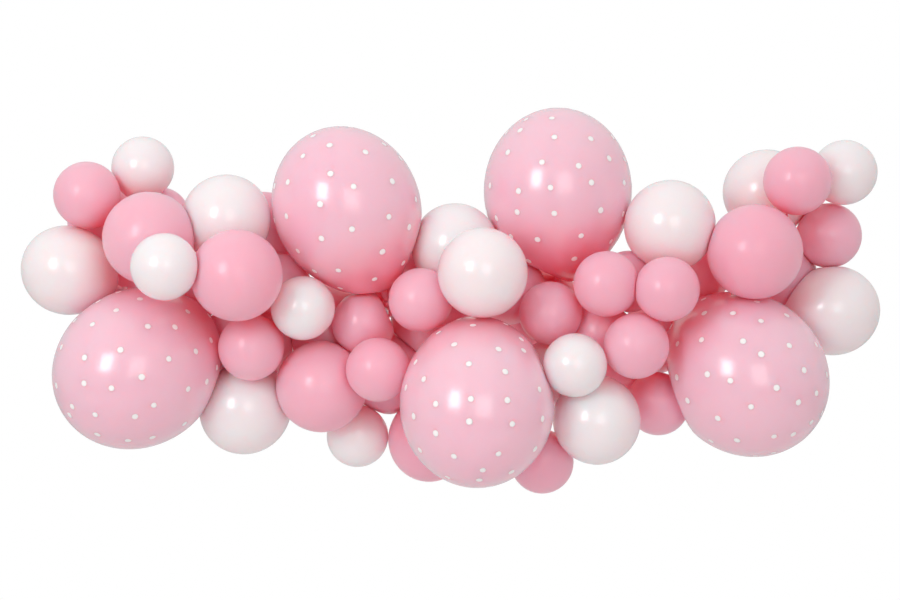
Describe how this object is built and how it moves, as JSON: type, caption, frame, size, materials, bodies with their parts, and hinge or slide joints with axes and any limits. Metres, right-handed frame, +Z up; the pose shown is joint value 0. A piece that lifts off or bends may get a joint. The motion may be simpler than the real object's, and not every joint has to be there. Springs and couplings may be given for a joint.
{
  "type": "balloon garland",
  "caption": "Wall-hung garland of tied latex balloons in pink, pearl white and dotted pearl pink, packed along a clear decorating strip.",
  "frame": {"origin": "centre of the back face of the decorating strip, where the middle hook or tape holds it, on the wall plane", "axes": "+X to the right as seen from the room, +Y into the wall, +Z up"},
  "size_m": [1.6396, 0.4538, 0.7349],
  "materials": {
    "clear_strip": "clear moulded plastic, slightly milky",
    "dotted_pearl_pink": "pearlescent pink latex with small printed white dots",
    "pearl_white": "pearlescent white latex, satin",
    "plain_pink": "plain pink latex, satin"
  },
  "bodies": {
    "root": {"hanging_strip": "clear_strip", "dotted_balloon_1": "dotted_pearl_pink", "dotted_balloon_2": "dotted_pearl_pink", "dotted_balloon_3": "dotted_pearl_pink", "dotted_balloon_4": "dotted_pearl_pink", "dotted_balloon_5": "dotted_pearl_pink", "white_balloon_1": "pearl_white", "white_balloon_2": "pearl_white", "white_balloon_3": "pearl_white", "white_balloon_4": "pearl_white", "white_balloon_5": "pearl_white", "white_balloon_6": "pearl_white", "white_balloon_7": "pearl_white", "white_balloon_8": "pearl_white", "white_balloon_9": "pearl_white", "small_white_balloon_1": "pearl_white", "small_white_balloon_2": "pearl_white", "small_white_balloon_3": "pearl_white", "small_white_balloon_4": "pearl_white", "small_white_balloon_5": "pearl_white", "small_white_balloon_6": "pearl_white", "small_white_balloon_7": "pearl_white", "pink_balloon_1": "plain_pink", "pink_balloon_2": "plain_pink", "pink_balloon_3": "plain_pink", "pink_balloon_4": "plain_pink", "pink_balloon_5": "plain_pink", "pink_balloon_6": "plain_pink", "pink_balloon_7": "plain_pink", "pink_balloon_8": "plain_pink", "pink_balloon_9": "plain_pink", "pink_balloon_10": "plain_pink", "pink_balloon_11": "plain_pink", "pink_balloon_12": "plain_pink", "pink_balloon_13": "plain_pink", "pink_balloon_14": "plain_pink", "pink_balloon_15": "plain_pink", "small_pink_balloon_1": "plain_pink", "small_pink_balloon_2": "plain_pink", "small_pink_balloon_3": "plain_pink", "small_pink_balloon_4": "plain_pink", "small_pink_balloon_5": "plain_pink", "small_pink_balloon_6": "plain_pink", "small_pink_balloon_7": "plain_pink", "small_pink_balloon_8": "plain_pink", "small_pink_balloon_9": "plain_pink", "small_pink_balloon_10": "plain_pink", "small_pink_balloon_11": "plain_pink", "small_pink_balloon_12": "plain_pink", "small_pink_balloon_13": "plain_pink", "small_pink_balloon_14": "plain_pink", "small_pink_balloon_15": "plain_pink", "small_pink_balloon_16": "plain_pink", "small_pink_balloon_17": "plain_pink", "small_pink_balloon_18": "plain_pink", "small_pink_balloon_19": "plain_pink", "small_pink_balloon_20": "plain_pink", "small_pink_balloon_21": "plain_pink", "small_pink_balloon_22": "plain_pink"}
  },
  "joints": []
}
